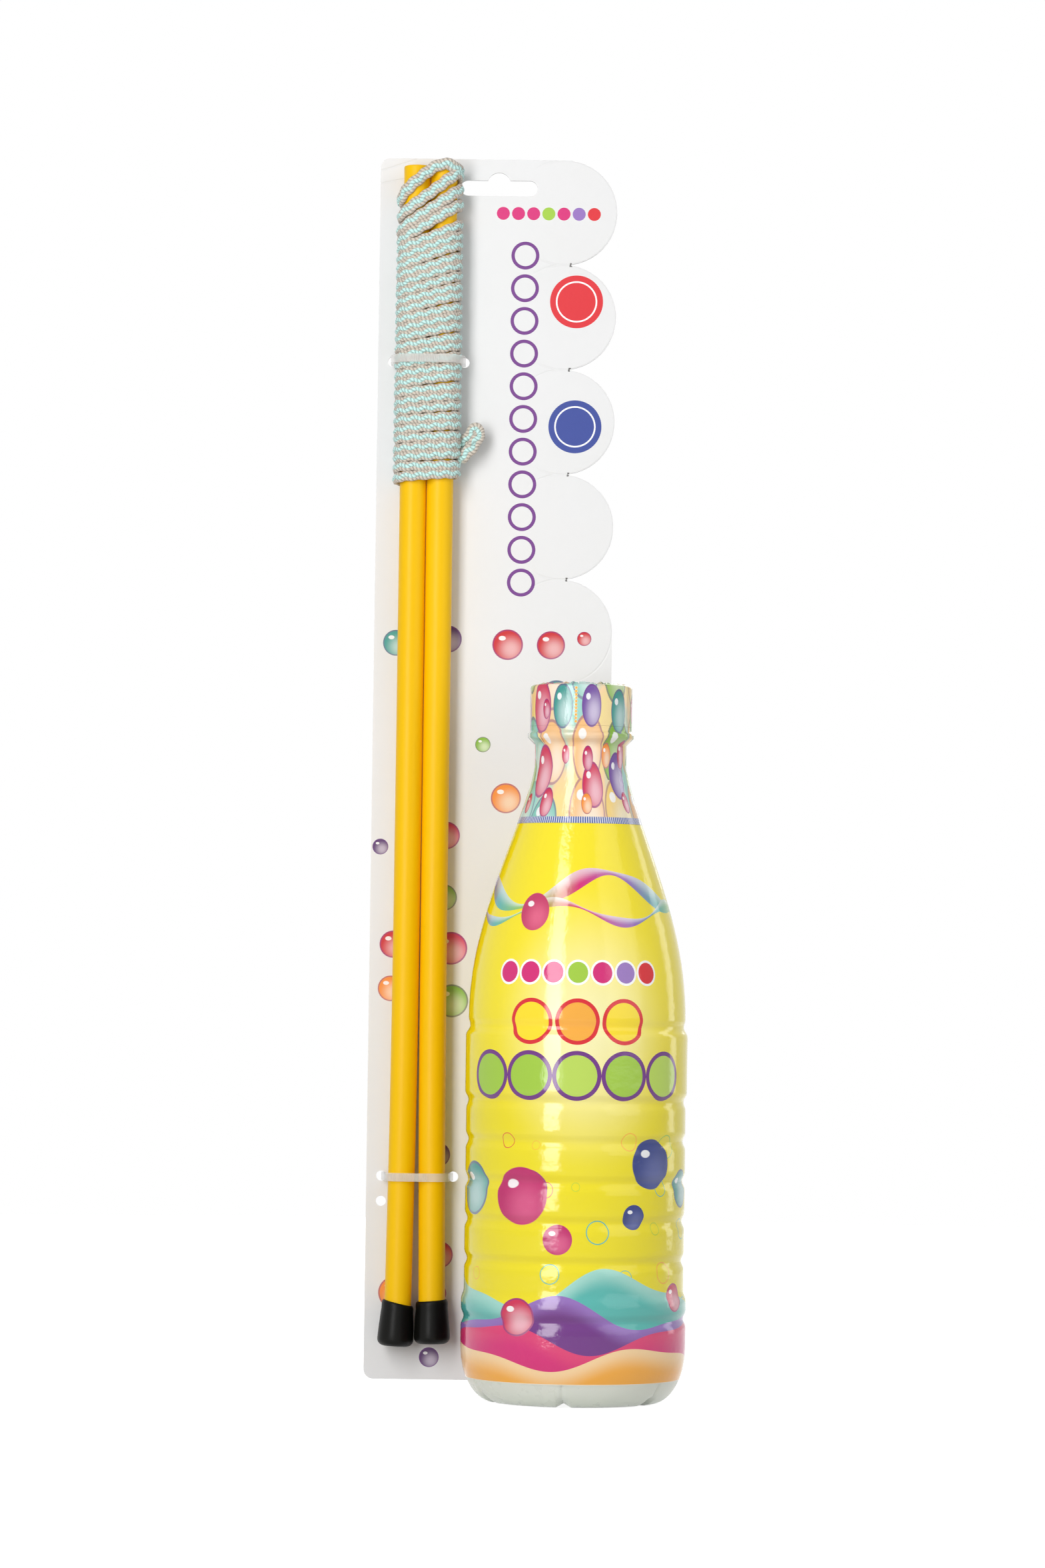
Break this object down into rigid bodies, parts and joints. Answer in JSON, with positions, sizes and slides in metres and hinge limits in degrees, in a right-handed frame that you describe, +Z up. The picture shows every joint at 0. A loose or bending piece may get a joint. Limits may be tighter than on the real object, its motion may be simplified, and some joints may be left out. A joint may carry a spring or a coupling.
{
  "type": "bubble wand set",
  "caption": "Giant bubble wand of cord-wound sticks with rubber tips, tied to a scalloped hang card beside a sleeved bottle of soap solution with a screw cap.",
  "frame": {"origin": "centre of the bottle's base, on the surface that the set stands on", "axes": "+Z up along the bottle and the sticks, +Y from the bottle's front to the card's back, +X to the right seen from the front"},
  "size_m": [0.1315, 0.0991, 0.5099],
  "materials": {
    "card": "satin",
    "tie_nylon": "satin",
    "stick_paint": "satin",
    "tip_rubber": "satin",
    "cord": "matte",
    "bottle_plastic": "gloss",
    "solution": "gloss",
    "cap_plastic": "satin",
    "liner_foam": "matte",
    "sleeve_film": "gloss",
    "seal_film": "gloss",
    "pad_foam": "matte"
  },
  "bodies": {
    "pack": {"backing_card": "card", "upper_tie": "tie_nylon", "lower_tie": "tie_nylon", "bottle": "bottle_plastic", "soap_solution": "solution", "tamper_ring": "cap_plastic", "body_sleeve": "sleeve_film", "neck_seal": "seal_film", "upper_pad": "pad_foam", "lower_pad": "pad_foam"},
    "wand": {"left_stick": "stick_paint", "right_stick": "stick_paint", "left_tip": "tip_rubber", "right_tip": "tip_rubber", "cord_winding": "cord", "cord_bight": "cord"},
    "cap_liner": {"cap_liner": "liner_foam"},
    "cap": {"screw_cap": "cap_plastic", "cap_seal": "seal_film"}
  },
  "joints": [
    {"name": "wand_slide", "type": "slide", "parent": "pack", "child": "wand", "axis": [0, 0, 1], "range_m": [-0.016, 0.022]},
    {"name": "cap_rise", "type": "slide", "parent": "pack", "child": "cap_liner", "axis": [0, 0, 1], "range_m": [0, 0.0064]},
    {"name": "cap_turn", "type": "hinge", "parent": "cap_liner", "child": "cap", "pos_m": [0, 0, 0.28], "axis": [0, 0, 1], "range_deg": [0, 540]}
  ],
  "couplings": [
    {"joint": "cap_rise", "follows": "cap_turn", "m_per_rad": 0.00066845}
  ]
}
